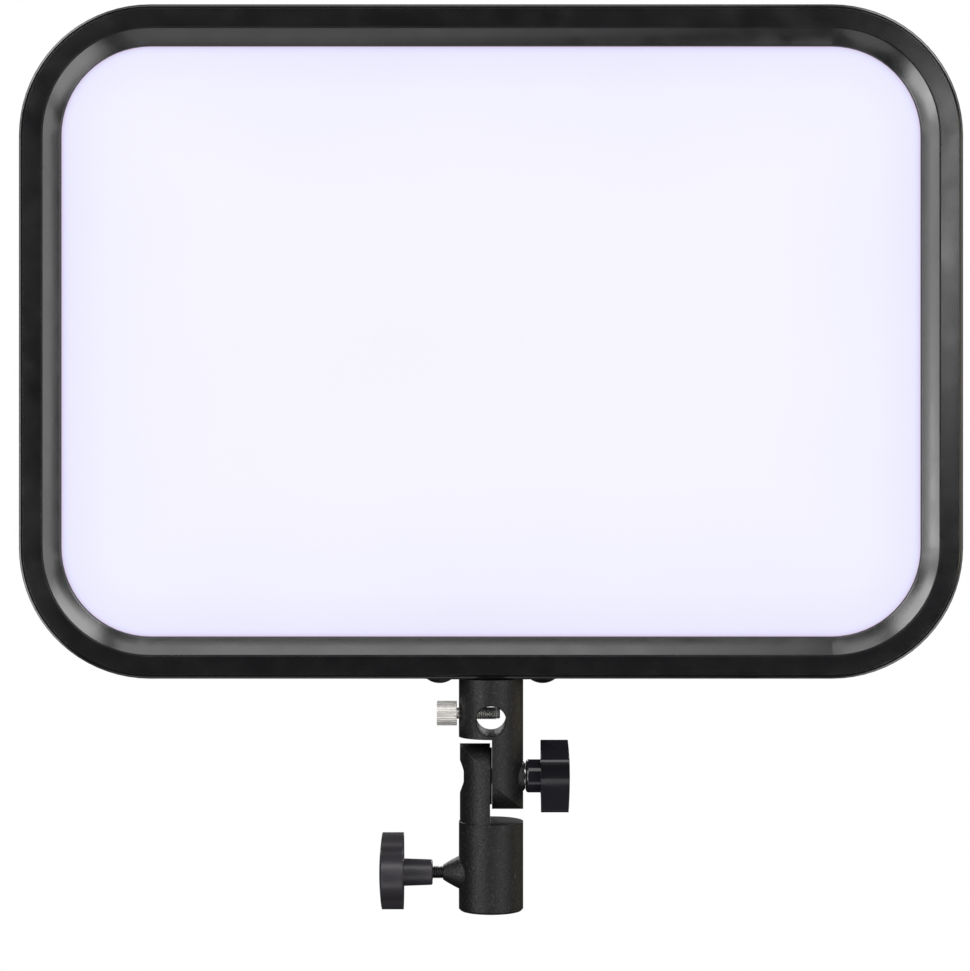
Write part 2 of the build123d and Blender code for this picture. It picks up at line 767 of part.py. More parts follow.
with BuildPart() as upper_swivel:
    with BuildSketch(Plane.XY.offset(foot_bottom)):
        Circle(tube_radius)
    extrude(amount=-(foot_bottom - tilt_z + tube_radius + 1))
    tongue_outline(upper_tongue_end, foot_bottom)
    with BuildSketch(Plane.XY.offset(upper_shoulder_z)) as lap:
        with Locations((lap_gap - 20, 0)):
            Rectangle(40, 40)
    extrude(lap.sketch, amount=-40, mode=Mode.SUBTRACT)
    # tapered boss under the tilt washer
    with BuildSketch(Plane.XZ) as boss_section:
        with BuildLine():
            Polyline(
                (8.0, tilt_z), (8.0, tilt_z + 7.4), (9.8, tilt_z + 7.0), (boss_face_x, tilt_z + 5.5),
                (boss_face_x, tilt_z), close=True,
            )
        make_face()
    revolve(boss_section.sketch, axis=Axis((0, 0, tilt_z), (1, 0, 0)))
    rod_x(bolt_radius + running_gap, -20, 20, tilt_z, Mode.SUBTRACT)
    with BuildSketch(front_plane(20, z=umbrella_z)) as umbrella_hole:
        Circle(umbrella_radius)
    extrude(umbrella_hole.sketch, amount=40, mode=Mode.SUBTRACT)
    hole_rims = upper_swivel.edges().filter_by(
        lambda edge: edge.length > 5 * umbrella_radius
        and abs(edge.bounding_box().center().Z - umbrella_z) < 0.5
    )
    fillet(hole_rims, hole_rim_round)
    rod_x(m5_radius + running_gap, -20, 0, umbrella_lock_z, Mode.SUBTRACT)
    with BuildSketch(Plane.XY.offset(foot_bottom)) as swivel_thread:
        Circle(2.55)
    extrude(swivel_thread.sketch, amount=-5.3, mode=Mode.SUBTRACT)
finish(upper_swivel.part, "upper_swivel")

with BuildPart() as stand_socket:
    with BuildSketch(Plane.XY.offset(lower_shoulder_z)):
        with BuildLine():
            CenterArc((0, 0), lower_tongue_radius, 90, 180)
            Line((0, -lower_tongue_radius), (0, lower_tongue_radius))
        make_face()
    extrude(amount=tilt_z + lower_tongue_end - lower_shoulder_z)
    tongue_outline(lower_tongue_end, lower_shoulder_z)
    with BuildSketch(Plane.XY.offset(lower_shoulder_z)) as lap:
        with Locations((20 - lap_gap, 0)):
            Rectangle(40, 40)
    extrude(lap.sketch, amount=40, mode=Mode.SUBTRACT)
    # socket body
    with BuildSketch(Plane.XY) as socket_outline:
        Circle(tube_radius)
    extrude(socket_outline.sketch, amount=lower_shoulder_z)
    chamfer(edges().filter_by(GeomType.CIRCLE).group_by(Axis.Z)[0], 0.7)
    # rounded cone that carries the clamp screw's thread
    with BuildSketch(Plane.XZ) as cone_section:
        with BuildLine():
            Line((-9.5, clamp_z), (-9.5, clamp_z + 7.6))
            ThreePointArc(
                (-9.5, clamp_z + 7.6), (-15.2, clamp_z + 4.9), (clamp_boss_x + 0.3, clamp_z + 3.0)
            )
            Line((clamp_boss_x + 0.3, clamp_z + 3.0), (clamp_boss_x, clamp_z + 2.7))
            Line((clamp_boss_x, clamp_z + 2.7), (clamp_boss_x, clamp_z))
            Line((clamp_boss_x, clamp_z), (-9.5, clamp_z))
        make_face()
    revolve(cone_section.sketch, axis=Axis((0, 0, clamp_z), (1, 0, 0)))
    rod_x(m5_radius + running_gap, -30, -3, clamp_z, Mode.SUBTRACT)
    with BuildSketch(Plane.XY) as spigot_bore:
        Circle(spigot_bore_radius)
    extrude(spigot_bore.sketch, amount=spigot_bore_depth, mode=Mode.SUBTRACT)
    # spot face and hex pocket for the bolt's captive head
    rod_x(spot_face_radius, -30, spot_face_x, tilt_z, Mode.SUBTRACT)
    with BuildSketch(side_plane(spot_face_x + head_pocket_depth, z=tilt_z)) as pocket:
        RegularPolygon(hex_across_flats / 2 + 0.1, 6, major_radius=False)
    extrude(pocket.sketch, amount=-head_pocket_depth - 1, mode=Mode.SUBTRACT)
    rod_x(bolt_radius + running_gap, -20, 20, tilt_z, Mode.SUBTRACT)
finish(stand_socket.part, "stand_socket")

with BuildPart() as friction_washer:
    rod_x(11.0, -lap_gap, lap_gap - running_gap, tilt_z)
    rod_x(bolt_radius + running_gap, -1, 1, tilt_z, Mode.SUBTRACT)
finish(friction_washer.part, "friction_washer")

with BuildPart() as tilt_bolt:
    with BuildSketch(side_plane(spot_face_x + head_pocket_depth, z=tilt_z)) as head:
        RegularPolygon(hex_across_flats / 2, 6, major_radius=False)
    extrude(head.sketch, amount=-3.7)
    rod_x(bolt_radius, spot_face_x + head_pocket_depth, bolt_end_x, tilt_z)
finish(tilt_bolt.part, "tilt_bolt")

with BuildPart() as tilt_washer:
    rod_x(5.1, boss_face_x + running_gap, boss_face_x + running_gap + washer_thickness, tilt_z)
    rod_x(bolt_radius + running_gap, 0, 20, tilt_z, Mode.SUBTRACT)
finish(tilt_washer.part, "tilt_washer")

with BuildPart() as tilt_knob_insert:
    rod_x(insert_radius, tilt_hub_x, bolt_end_x + 1, tilt_z)
    rod_x(bolt_radius + running_gap, 0, 40, tilt_z, Mode.SUBTRACT)
finish(tilt_knob_insert.part, "tilt_knob_insert")


# Four narrow lobes with concave flanks. Angles are measured from the front, upwards.
def knob_point(radius, angle):
    """Point on the knob's outline in a side plane, at an angle from the front, upwards."""
    return (-radius * cos(radians(angle)), radius * sin(radians(angle)))


def crop_to_dome(axis_z, crown_x, fall):
    """Keep what lies between x = 0 and a dome about the knob's axis, fall deep at its edge."""
    reach = 17.0
    with BuildSketch(Plane.XZ) as half_section:
        with BuildLine():
            ThreePointArc(
                (crown_x, axis_z),
                (crown_x + fall / 4, axis_z + reach / 2),
                (crown_x + fall, axis_z + reach),
            )
            Polyline(
                (crown_x + fall, axis_z + reach),
                (0, axis_z + reach),
                (0, axis_z),
                (crown_x, axis_z),
            )
        make_face()
    revolve(half_section.sketch, axis=Axis((0, 0, axis_z), (1, 0, 0)), mode=Mode.INTERSECT)


lobe_tip_radius = 14.9
lobe_half_angle = 4.6
flank_radius = 14.0
first_lobe = 30.0
with BuildPart() as tilt_knob:
    with BuildSketch(side_plane(tilt_knob_x, z=tilt_z)) as lobes:
        with BuildLine():
            for step in range(4):
                angle = first_lobe + 90 * step
                tip_start = knob_point(lobe_tip_radius, angle - lobe_half_angle)
                tip_end = knob_point(lobe_tip_radius, angle + lobe_half_angle)
                next_tip = knob_point(lobe_tip_radius, angle + 90 - lobe_half_angle)
                ThreePointArc(tip_start, knob_point(lobe_tip_radius, angle), tip_end)
                ThreePointArc(tip_end, knob_point(8.0, angle + 45), next_tip)
        make_face()
        fillet(lobes.vertices(), 0.9)
    extrude(lobes.sketch, amount=tilt_knob_end - tilt_knob_x)
    # slightly crowned outer face
    crop_to_dome(tilt_z, tilt_knob_end, -tilt_crown)
    # hub with a rounded inner end, bored for the insert
    rod_x(tilt_hub_radius, tilt_hub_x, tilt_knob_x + 1, tilt_z)
    fillet(edges().filter_by(GeomType.CIRCLE).group_by(Axis.X)[0], 1.2)
    rod_x(insert_radius, tilt_hub_x - 1, bolt_end_x + 1, tilt_z, Mode.SUBTRACT)
finish(tilt_knob.part, "tilt_knob")


# ---------------------------------------------------------------- clamp screw of the socket
def threaded_rod(start, end, z):
    """M5 rod along X with a V groove for each turn of thread."""
    groove = 0.3
    turns = int((end - start) / m5_pitch)
    crest = z + m5_radius
    points = [(start, z), (start, crest - groove)]
    for turn in range(turns):
        x = start + turn * m5_pitch
        points += [(x + m5_pitch / 2, crest), (x + m5_pitch, crest - groove)]
    points += [(end, crest - groove), (end, z)]
    with BuildSketch(Plane.XZ) as rod_section:
        with BuildLine():
            Polyline(*points, close=True)
        make_face()
    revolve(rod_section.sketch, axis=Axis((0, 0, z), (1, 0, 0)))


with BuildPart() as clamp_screw:
    threaded_rod(clamp_tip_x - 17 * m5_pitch - 0.1, clamp_tip_x, clamp_z)
    rod_x(m5_radius, clamp_knob_x - 4, clamp_tip_x - 17 * m5_pitch - 0.1, clamp_z)
finish(clamp_screw.part, "clamp_screw")

with BuildPart() as clamp_pad:
    rod_x(2.3, clamp_tip_x + 0.05, clamp_tip_x + 1.6, clamp_z)
    chamfer(edges().filter_by(GeomType.CIRCLE).group_by(Axis.X)[-1], 0.3)
finish(clamp_pad.part, "clamp_pad")

# Three broad lobes, one of them towards the front.
round_lobe_radius = 9.2
lobe_centre_radius = 6.6
with BuildPart() as clamp_knob:
    with BuildSketch(side_plane(clamp_knob_x, z=clamp_z)) as trefoil:
        for angle in (0, 120, 240):
            with Locations(knob_point(lobe_centre_radius, angle)):
                Circle(round_lobe_radius)
        fillet(trefoil.vertices(), 5.0)
    extrude(trefoil.sketch, amount=clamp_knob_end - clamp_crown - clamp_knob_x)
    crop_to_dome(clamp_z, clamp_knob_end - clamp_crown, clamp_crown)
    # tapered hub
    with BuildSketch(Plane.XZ) as hub_section:
        with BuildLine():
            Polyline(
                (clamp_knob_x - 1, clamp_z), (clamp_knob_x - 1, clamp_z + 5.3),
                (clamp_knob_x, clamp_z + 5.3), (clamp_hub_x - 0.4, clamp_z + 4.9),
                (clamp_hub_x, clamp_z + 4.5), (clamp_hub_x, clamp_z), close=True,
            )
        make_face()
    revolve(hub_section.sketch, axis=Axis((0, 0, clamp_z), (1, 0, 0)))
    rod_x(m5_radius, clamp_knob_x - 4, clamp_hub_x + 1, clamp_z, Mode.SUBTRACT)
finish(clamp_knob.part, "clamp_knob")

# ---------------------------------------------------------------- umbrella lock screw
knurl_count = 30
with BuildPart() as umbrella_lock_screw:
    with BuildSketch(side_plane(lock_head_end, z=umbrella_lock_z)) as knurled:
        Circle(lock_head_radius)
        with PolarLocations(lock_head_radius + 0.12, knurl_count):
            Rectangle(0.5, 0.5, rotation=45, mode=Mode.SUBTRACT)
    extrude(knurled.sketch, amount=lock_head_x - lock_head_end)
    rod_x(3.4, lock_head_end - 1, lock_head_end + 0.6, umbrella_lock_z, Mode.SUBTRACT)
    threaded_rod(lock_tip_x - 17 * m5_pitch, lock_tip_x, umbrella_lock_z)
    rod_x(m5_radius - 0.3, lock_head_x - 0.5, lock_tip_x - 17 * m5_pitch, umbrella_lock_z)
finish(umbrella_lock_screw.part, "umbrella_lock_screw")

with BuildPart() as umbrella_lock_pad:
    rod_x(2.1, lock_tip_x + 0.05, lock_tip_x + 1.5, umbrella_lock_z)
    fillet(edges().filter_by(GeomType.CIRCLE).group_by(Axis.X)[-1], 0.6)
finish(umbrella_lock_pad.part, "umbrella_lock_pad")
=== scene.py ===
"""Looks of the LED panel light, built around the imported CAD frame, in metres."""

import json
import math

import bmesh
import bpy
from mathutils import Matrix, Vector


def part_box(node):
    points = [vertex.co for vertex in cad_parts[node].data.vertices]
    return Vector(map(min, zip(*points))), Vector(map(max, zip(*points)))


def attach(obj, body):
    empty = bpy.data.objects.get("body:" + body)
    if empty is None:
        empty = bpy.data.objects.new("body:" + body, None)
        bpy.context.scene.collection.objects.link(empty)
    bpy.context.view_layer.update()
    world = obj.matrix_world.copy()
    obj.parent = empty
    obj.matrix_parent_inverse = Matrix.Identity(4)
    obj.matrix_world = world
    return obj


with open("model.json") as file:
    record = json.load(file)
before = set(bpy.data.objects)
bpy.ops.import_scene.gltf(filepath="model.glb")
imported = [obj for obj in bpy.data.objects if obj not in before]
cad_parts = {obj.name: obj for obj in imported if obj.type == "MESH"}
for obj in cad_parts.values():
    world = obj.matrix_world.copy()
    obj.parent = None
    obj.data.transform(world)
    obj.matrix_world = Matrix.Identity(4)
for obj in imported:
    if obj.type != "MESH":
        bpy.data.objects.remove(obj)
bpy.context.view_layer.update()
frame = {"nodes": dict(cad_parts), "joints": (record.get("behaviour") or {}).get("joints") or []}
bezel_low, bezel_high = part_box("front_bezel")
panel_centre = (bezel_low + bezel_high) / 2

# ---------------------------------------------------------------- camera and stage
# Distances are in metres, and lights are placed from the panel's middle. A radiance of 1 is white.
VIEW_DISTANCE = 1.25
LENS_MM = 120.4
LENS_SHIFT = (-0.0062, -0.1483)
FLOOR_Z = -1.7
FLOOR_REACH = 60.0
FILL = (0.028, 0.028, 0.031, 1)
WHITE = (1, 1, 1, 1)
RING_DISTANCE = 1.6
STRIP_OFFSET = (0.56, -RING_DISTANCE, 0.14)
STRIP_SIZE = (0.16, 0.34)
STRIP_RADIANCE = 4.4
FAR_RIGHT_OFFSET = (1.7, 0.5, -0.1)
FAR_RIGHT_SIZE = (0.9, 1.2)
FAR_RIGHT_RADIANCE = 1.2
FAR_RIGHT_COLOUR = (1.0, 0.87, 0.64)
REAR_RADIUS = 1.9
REAR_HEIGHT = 0.8
REAR_SIZE = 1.0
REAR_RADIANCE = 5.0


def add_camera():
    """Level camera in front of the panel's middle, shifted so that the bracket fits below it."""
    data = bpy.data.cameras.new("camera")
    data.lens = LENS_MM
    data.shift_x, data.shift_y = LENS_SHIFT
    data.dof.use_dof = False
    camera = bpy.data.objects.new("camera", data)
    camera.location = (panel_centre.x, bezel_low.y - VIEW_DISTANCE, panel_centre.z)
    camera.rotation_euler = (math.pi / 2, 0, 0)
    bpy.context.scene.collection.objects.link(camera)
    bpy.context.scene.camera = camera


def add_softbox(name, place, target, width, height, radiance):
    """Rectangular soft light at place, turned to target."""
    data = bpy.data.lights.new(name, "AREA")
    data.shape = "RECTANGLE"
    data.size = width
    data.size_y = height
    data.energy = radiance * math.pi * width * height
    light = bpy.data.objects.new(name, data)
    light.location = place
    direction = Vector(target) - Vector(place)
    light.rotation_euler = direction.to_track_quat("-Z", "Z").to_euler()
    light.visible_camera = False
    bpy.context.scene.collection.objects.link(light)
    return light


def add_world():
    """White surroundings for the camera, and a weak even fill for the object."""
    world = bpy.data.worlds.new("studio")
    world.use_nodes = True
    nodes, links = world.node_tree.nodes, world.node_tree.links
    nodes.clear()
    output = nodes.new("ShaderNodeOutputWorld")
    mix = nodes.new("ShaderNodeMixShader")
    path = nodes.new("ShaderNodeLightPath")
    fill = nodes.new("ShaderNodeBackground")
    fill.inputs["Color"].default_value = FILL
    seen = nodes.new("ShaderNodeBackground")
    seen.inputs["Color"].default_value = WHITE
    links.new(path.outputs["Is Camera Ray"], mix.inputs["Fac"])
    links.new(fill.outputs["Background"], mix.inputs[1])
    links.new(seen.outputs["Background"], mix.inputs[2])
    links.new(mix.outputs["Shader"], output.inputs["Surface"])
    bpy.context.scene.world = world


def add_floor():
    """Plain white floor at the foot of a light stand, kept out of the object's light and gloss."""
    mesh = bpy.data.meshes.new("floor")
    signs = ((-1, -1), (1, -1), (1, 1), (-1, 1))
    corners = [(x * FLOOR_REACH, y * FLOOR_REACH, FLOOR_Z) for x, y in signs]
    mesh.from_pydata(corners, [], [(0, 1, 2, 3)])
    floor = bpy.data.objects.new("floor", mesh)
    bpy.context.scene.collection.objects.link(floor)
    material = bpy.data.materials.new("floor_white")
    material.use_nodes = True
    nodes = material.node_tree.nodes
    nodes.clear()
    output = nodes.new("ShaderNodeOutputMaterial")
    glow = nodes.new("ShaderNodeEmission")
    glow.inputs["Color"].default_value = WHITE
    material.node_tree.links.new(glow.outputs["Emission"], output.inputs["Surface"])
    mesh.materials.append(material)
    floor.visible_diffuse = False
    floor.visible_glossy = False
    floor.visible_shadow = False


def add_lights():
    """Softboxes round the lens, a strip near it, one on the far right and two behind."""
    round_the_lens = (
        # name, degrees round the lens from the right towards the top, metres off its axis,
        # metres across, radiance
        ("softbox_right", 0, 1.85, 1.0, 1.9),
        ("softbox_upper_right", 46, 1.92, 1.5, 4.5),
        ("softbox_top", 96, 1.85, 1.0, 2.1),
        ("softbox_upper_left", 142, 1.70, 1.15, 5.2),
        ("softbox_left", 180, 1.60, 1.0, 1.9),
        ("softbox_lower_left", 206, 1.60, 1.0, 4.4),
        ("softbox_low", 258, 1.75, 1.0, 0.85),
        ("softbox_lower_right", 316, 1.70, 1.4, 2.6),
    )
    for name, turn, off_axis, across, radiance in round_the_lens:
        angle = math.radians(turn)
        outward = Vector((math.cos(angle), 0, math.sin(angle)))
        place = panel_centre + outward * off_axis + Vector((0, -RING_DISTANCE, 0))
        add_softbox(name, place, panel_centre, across, across, radiance)
    strip = panel_centre + Vector(STRIP_OFFSET)
    add_softbox("strip_near_lens", strip, panel_centre, *STRIP_SIZE, STRIP_RADIANCE)
    place = panel_centre + Vector(FAR_RIGHT_OFFSET)
    far_right = add_softbox(
        "softbox_far_right", place, panel_centre, *FAR_RIGHT_SIZE, FAR_RIGHT_RADIANCE
    )
    far_right.data.color = FAR_RIGHT_COLOUR
    for name, turn in (("softbox_rear_left", 118), ("softbox_rear_right", 62)):
        angle = math.radians(turn)
        right, back = REAR_RADIUS * math.cos(angle), REAR_RADIUS * math.sin(angle)
        place = panel_centre + Vector((right, back, REAR_HEIGHT))
        add_softbox(name, place, panel_centre, REAR_SIZE, REAR_SIZE, REAR_RADIANCE)


# ---------------------------------------------------------------- materials
# Socket numbers of a Mix node's two colours and of its colour result.
MIX_FIRST_COLOUR = 6
MIX_SECOND_COLOUR = 7
MIX_COLOUR_RESULT = 2
DUST_COLOUR = (0.5, 0.5, 0.48)
PATCH_SIZE = 0.012
MOULDED_EDGE = 0.00025
COATED_EDGE = 0.0004
TURNED_EDGE = 0.0001
POLISHED = 0.20
SATIN = 0.55
ACRYLIC_IOR = 1.49
# The diffuser's corner radius, how far the bezel laps over it, and how far in its shade changes.
DIFFUSER_CORNER = 0.0401
BEZEL_LAP = 0.0056
GLOW_REACH = 0.08


class Finish:
    """A material's nodes, with short calls for what the finishes here have in common."""

    def __init__(self, name):
        self.name = name
        self.material = bpy.data.materials.new(name)
        self.material.use_nodes = True
        self.nodes = self.material.node_tree.nodes
        self.links = self.material.node_tree.links
        self.shader = self.nodes["Principled BSDF"]
        self.place = self.nodes.new("ShaderNodeTexCoord").outputs["Object"]

    def set(self, **values):
        """Uniform values on the shader's own sockets; a name's underscores are spaces."""
        for name, value in values.items():
            self.shader.inputs[name.replace("_", " ")].default_value = value

    def noise(self, size, detail=2.0, stretch=(1, 1, 1)):
        """Noise from 0 to 1 with features of about size metres, drawn out by stretch."""
        mapping = self.nodes.new("ShaderNodeMapping")
        mapping.inputs["Scale"].default_value = [1 / (size * each) for each in stretch]
        noise = self.nodes.new("ShaderNodeTexNoise")
        noise.inputs["Scale"].default_value = 1.0
        noise.inputs["Detail"].default_value = detail
        self.links.new(self.place, mapping.inputs["Vector"])
        self.links.new(mapping.outputs["Vector"], noise.inputs["Vector"])
        return noise.outputs["Fac"]

    def between(self, fac, low, high, start=0.3, end=0.7):
        """A number that runs from low to high as fac goes from start to end."""
        run = self.nodes.new("ShaderNodeMapRange")
        run.inputs["From Min"].default_value = start
        run.inputs["From Max"].default_value = end
        run.inputs["To Min"].default_value = low
        run.inputs["To Max"].default_value = high
        self.links.new(fac, run.inputs["Value"])
        return run.outputs["Result"]

    def mix(self, fac, first, second):
        """Colour between first and second, each a colour or a socket."""
        blend = self.nodes.new("ShaderNodeMix")
        blend.data_type = "RGBA"
        self.links.new(fac, blend.inputs["Factor"])
        for slot, colour in ((MIX_FIRST_COLOUR, first), (MIX_SECOND_COLOUR, second)):
            if isinstance(colour, tuple):
                blend.inputs[slot].default_value = (*colour, 1)
            else:
                self.links.new(colour, blend.inputs[slot])
        return blend.outputs[MIX_COLOUR_RESULT]

    def math(self, operation, first, second=0.0):
        """Arithmetic on one or two values, each a number or a socket."""
        node = self.nodes.new("ShaderNodeMath")
        node.operation = operation
        for slot, value in ((0, first), (1, second)):
            if isinstance(value, (int, float)):
                node.inputs[slot].default_value = value
            else:
                self.links.new(value, node.inputs[slot])
        return node.outputs[0]

    def colour(self, socket):
        self.links.new(socket, self.shader.inputs["Base Color"])

    def roughness(self, socket):
        self.links.new(socket, self.shader.inputs["Roughness"])

    def relief(self, height, depth, below):
        """Bump of depth metres from a 0 to 1 height, on top of the normal below it."""
        bump = self.nodes.new("ShaderNodeBump")
        bump.inputs["Strength"].default_value = 1.0
        bump.inputs["Distance"].default_value = depth
        self.links.new(height, bump.inputs["Height"])
        self.links.new(below, bump.inputs["Normal"])
        return bump.outputs["Normal"]

    def normal(self, socket):
        self.links.new(socket, self.shader.inputs["Normal"])


def rounded_edges(finish, radius):
    """Normal that rounds sharp edges off by radius metres."""
    bevel = finish.nodes.new("ShaderNodeBevel")
    bevel.samples = 4
    bevel.inputs["Radius"].default_value = radius
    return bevel.outputs["Normal"]


def moulded(name, colour, roughness, grain=0.0004, depth=0.000012, dust=0.02, ior=1.5):
    """Moulded plastic with a fine grain, faint cloudy patches, and a little dust."""
    cloud_size = 0.05
    speck_size = 0.0009
    finish = Finish(name)
    cloud = finish.noise(cloud_size, 3.0)
    lighter = tuple(min(1.0, channel * 1.12) for channel in colour)
    darker = tuple(channel * 0.92 for channel in colour)
    base = finish.mix(finish.between(cloud, 0, 1), darker, lighter)
    speck = finish.between(finish.noise(speck_size, 1.0), 0, dust, 0.70, 0.80)
    finish.colour(finish.mix(speck, base, DUST_COLOUR))
    patches = finish.noise(PATCH_SIZE, 3.0)
    finish.roughness(finish.between(patches, roughness - 0.04, roughness + 0.05))
    softened = rounded_edges(finish, MOULDED_EDGE)
    finish.normal(finish.relief(finish.noise(grain, 3.0), depth, softened))
    finish.set(IOR=ior)
    return finish


def bezel_finish(name):
    """Moulded bezel: polished on its front and bevel, satin round its outer side."""
    side_on, face_on = 0.35, 0.75
    finish = moulded(name, (0.005, 0.005, 0.0055), POLISHED, ior=1.8)
    facing = finish.nodes.new("ShaderNodeSeparateXYZ")
    normal = finish.nodes.new("ShaderNodeTexCoord").outputs["Normal"]
    finish.links.new(normal, facing.inputs[0])
    forward = finish.math("ABSOLUTE", facing.outputs["Y"])
    uneven = finish.between(finish.noise(PATCH_SIZE, 3.0), -0.04, 0.05)
    polish = finish.between(forward, SATIN, POLISHED, side_on, face_on)
    finish.roughness(finish.math("ADD", polish, uneven))
    return finish


def powder_coat(name, colour, roughness):
    """Coarse black powder coat over a cast surface, with pale flecks where the grain is worn."""
    grain_size, grain_depth = 0.0007, 0.00022
    fleck_size, fleck_colour = 0.0011, (0.42, 0.40, 0.42)
    cast_size, cast_depth = 0.006, 0.00008
    finish = Finish(name)
    grain = finish.noise(grain_size, 2.0)
    darker = tuple(channel * 0.5 for channel in colour)
    lighter = tuple(channel * 1.8 for channel in colour)
    base = finish.mix(finish.between(grain, 0, 1), darker, lighter)
    fleck = finish.between(finish.noise(fleck_size, 1.0), 0, 0.05, 0.62, 0.72)
    finish.colour(finish.mix(fleck, base, fleck_colour))
    finish.roughness(finish.between(grain, roughness + 0.10, roughness - 0.10))
    softened = rounded_edges(finish, COATED_EDGE)
    cast = finish.relief(finish.noise(cast_size, 2.0), cast_depth, softened)
    finish.normal(finish.relief(grain, grain_depth, cast))
    finish.set(IOR=1.42)
    return finish


def metal(name, colour, roughness, stretch=(1, 1, 1), metallic=1.0):
    """Plated or turned metal with fine tool marks drawn out along stretch."""
    mark_size, mark_depth = 0.0006, 0.000004
    tone_size = 0.004
    finish = Finish(name)
    marks = finish.noise(mark_size, 3.0, stretch)
    tone = finish.noise(tone_size, 3.0)
    darker = tuple(channel * 0.82 for channel in colour)
    finish.colour(finish.mix(finish.between(tone, 0, 1), darker, colour))
    finish.roughness(finish.between(marks, roughness - 0.06, roughness + 0.08))
    finish.normal(finish.relief(marks, mark_depth, rounded_edges(finish, TURNED_EDGE)))
    finish.set(Metallic=metallic)
    return finish


def inwards_from_rim(finish):
    """Distance from the diffuser's rounded outline, in its own plane."""
    low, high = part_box("diffuser")
    half = (high - low) / 2
    centre = (high + low) / 2
    offset = finish.nodes.new("ShaderNodeVectorMath")
    offset.operation = "SUBTRACT"
    offset.inputs[1].default_value = centre
    finish.links.new(finish.place, offset.inputs[0])
    folded = finish.nodes.new("ShaderNodeVectorMath")
    folded.operation = "ABSOLUTE"
    finish.links.new(offset.outputs[0], folded.inputs[0])
    beyond = finish.nodes.new("ShaderNodeVectorMath")
    beyond.operation = "SUBTRACT"
    straight = (half.x - DIFFUSER_CORNER, half.y, half.z - DIFFUSER_CORNER)
    beyond.inputs[1].default_value = straight
    finish.links.new(folded.outputs[0], beyond.inputs[0])
    parts = finish.nodes.new("ShaderNodeSeparateXYZ")
    finish.links.new(beyond.outputs[0], parts.inputs[0])
    across = finish.math("MAXIMUM", parts.outputs["X"], 0.0)
    upward = finish.math("MAXIMUM", parts.outputs["Z"], 0.0)
    across_squared = finish.math("MULTIPLY", across, across)
    upward_squared = finish.math("MULTIPLY", upward, upward)
    outside = finish.math("SQRT", finish.math("ADD", across_squared, upward_squared))
    larger = finish.math("MAXIMUM", parts.outputs["X"], parts.outputs["Z"])
    inside = finish.math("MINIMUM", larger, 0.0)
    return finish.math("SUBTRACT", DIFFUSER_CORNER, finish.math("ADD", outside, inside))


def opal_lit(name):
    """Opal sheet, lit from behind: a shade less bright and more lavender towards the rim."""
    haze_size = 0.08
    finish = Finish(name)
    from_rim = inwards_from_rim(finish)
    haze = finish.noise(haze_size, 2.0)
    ramp = finish.nodes.new("ShaderNodeValToRGB")
    stops = (
        # metres from the opening's edge, colour of the glow
        (0.0, (0.64, 0.54, 0.73)),
        (0.0012, (0.655, 0.65, 0.86)),
        (0.0035, (0.70, 0.69, 0.83)),
        (0.018, (0.745, 0.74, 0.87)),
        (0.060, (0.785, 0.775, 0.845)),
    )
    while len(ramp.color_ramp.elements) < len(stops):
        ramp.color_ramp.elements.new(0.5)
    for element, (inset, colour) in zip(ramp.color_ramp.elements, stops):
        element.position = inset / GLOW_REACH
        element.color = (*colour, 1)
    along = finish.between(from_rim, 0, 1, BEZEL_LAP, BEZEL_LAP + GLOW_REACH)
    finish.links.new(along, ramp.inputs["Fac"])
    finish.links.new(ramp.outputs["Color"], finish.shader.inputs["Emission Color"])
    finish.set(Emission_Strength=1.0)
    finish.colour(finish.mix(haze, (0.09, 0.09, 0.10), (0.11, 0.11, 0.12)))
    finish.roughness(finish.between(haze, 0.42, 0.5))
    return finish


def clear(name, colour, roughness, transmission):
    """Clear or smoked acrylic."""
    smudge_size = 0.01
    finish = Finish(name)
    smudge = finish.noise(smudge_size, 3.0)
    darker = tuple(channel * 0.9 for channel in colour)
    finish.colour(finish.mix(smudge, darker, colour))
    finish.roughness(finish.between(smudge, roughness, roughness + 0.08))
    finish.set(Transmission_Weight=transmission, IOR=ACRYLIC_IOR)
    return finish


def glowing(name, colour, strength):
    """Lit display segment, a little uneven."""
    patch_size = 0.003
    finish = Finish(name)
    patch = finish.noise(patch_size, 1.0)
    dimmer = tuple(channel * 0.85 for channel in colour)
    finish.links.new(finish.mix(patch, dimmer, colour), finish.shader.inputs["Emission Color"])
    finish.set(Emission_Strength=strength, Roughness=0.4)
    finish.colour(finish.mix(patch, (0.05, 0.08, 0.1), (0.06, 0.1, 0.12)))
    return finish


